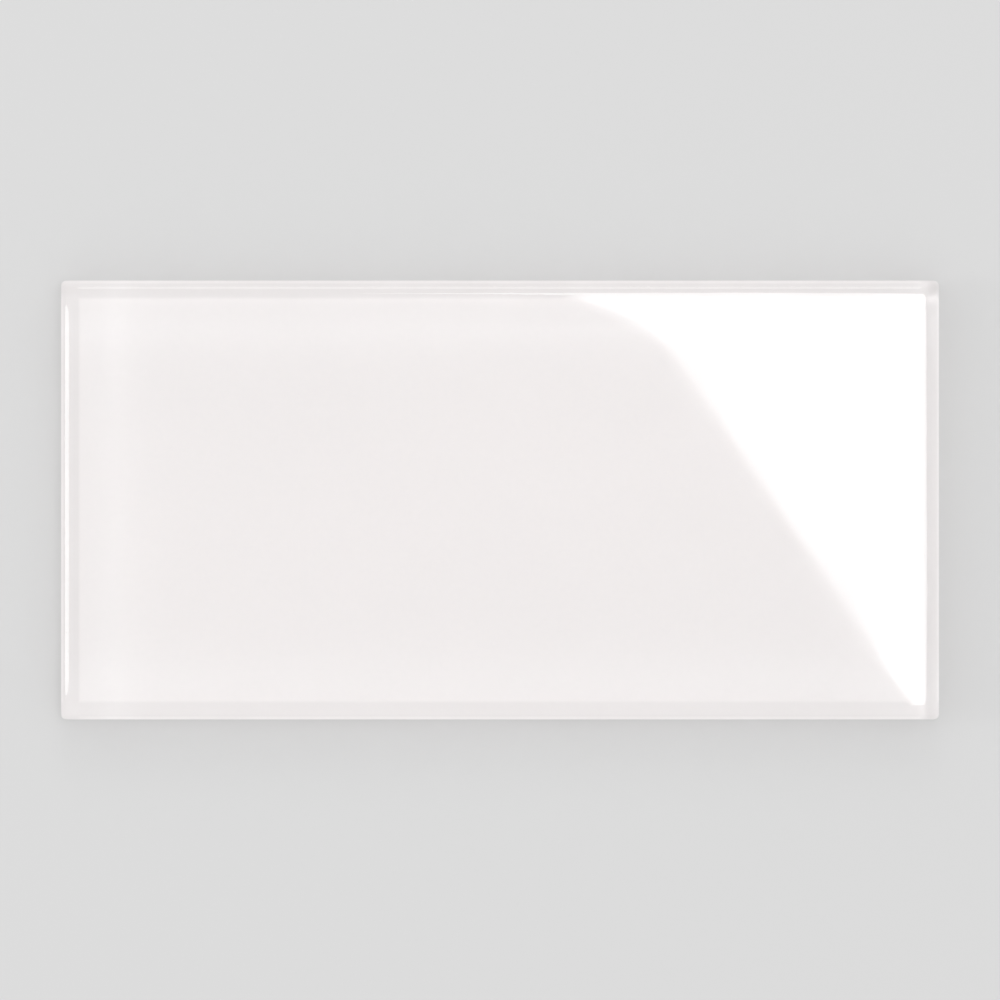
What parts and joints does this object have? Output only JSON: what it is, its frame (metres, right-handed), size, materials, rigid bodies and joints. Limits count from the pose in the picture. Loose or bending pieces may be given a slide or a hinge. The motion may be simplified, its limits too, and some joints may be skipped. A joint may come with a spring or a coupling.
{
  "type": "glass subway tile",
  "caption": "Rectangular glass wall tile with a softly crowned clear face and an opaque white coat on its back, laid flat with its face up.",
  "frame": {"origin": "middle of the underside of the back coat, which is the bottom centre of the whole tile", "axes": "+X along the tile's length, +Y across its width, +Z out of its glass face"},
  "size_m": [0.1524, 0.0762, 0.008],
  "materials": {
    "clear_glass": "polished",
    "white_coat": "matte"
  },
  "bodies": {
    "root": {"glass_body": "clear_glass", "back_coat": "white_coat"}
  },
  "joints": []
}
